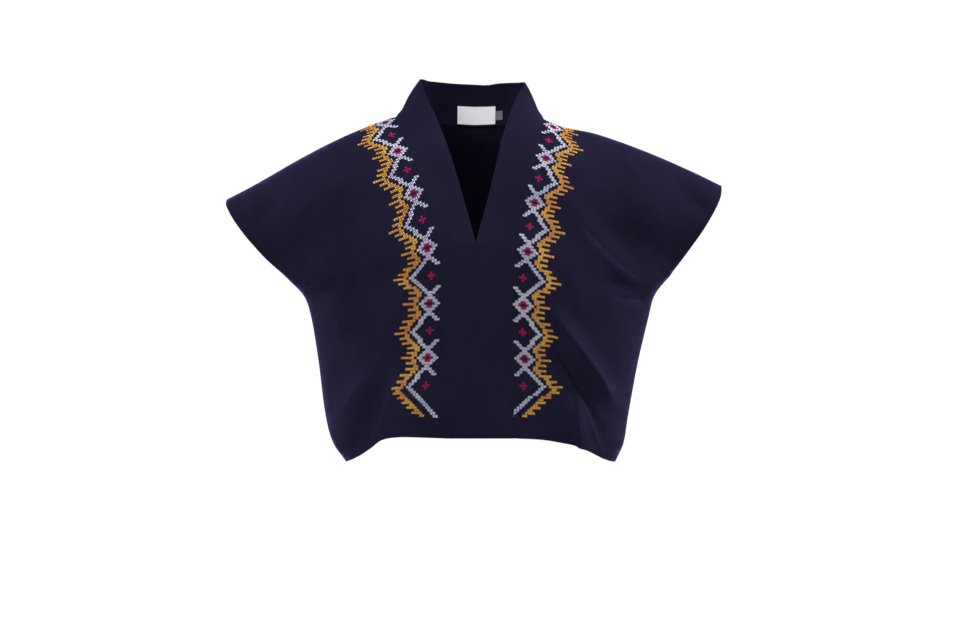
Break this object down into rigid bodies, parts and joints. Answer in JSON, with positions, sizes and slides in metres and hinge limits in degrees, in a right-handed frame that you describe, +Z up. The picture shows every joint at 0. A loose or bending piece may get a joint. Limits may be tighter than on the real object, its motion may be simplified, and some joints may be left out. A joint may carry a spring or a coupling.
{
  "type": "kimono top",
  "caption": "Cropped kimono-style top with cap sleeves cut on, a V neck, a wide collar band and cross-stitch borders, worn form.",
  "frame": {"origin": "the middle of the wearer's shoulder line, where the top is carried, under the neck opening", "axes": "+Z up; -Y is the front; +X is the wearer's left"},
  "size_m": [0.6669, 0.2295, 0.5178],
  "materials": {
    "cloth": "matt woven with a soft indigo sheen",
    "band_cloth": "matt woven, pressed flat over interlining",
    "label_tape": "satin woven tape",
    "thread_pale": "soft twisted cotton",
    "thread_gold": "soft twisted cotton",
    "thread_red": "soft twisted cotton",
    "thread_seam": "fine sewing thread"
  },
  "bodies": {
    "root": {"front_right": "cloth", "front_left": "cloth", "back": "cloth", "band_right": "band_cloth", "band_left": "band_cloth", "neck_label": "label_tape", "size_tab": "label_tape"}
  },
  "joints": []
}
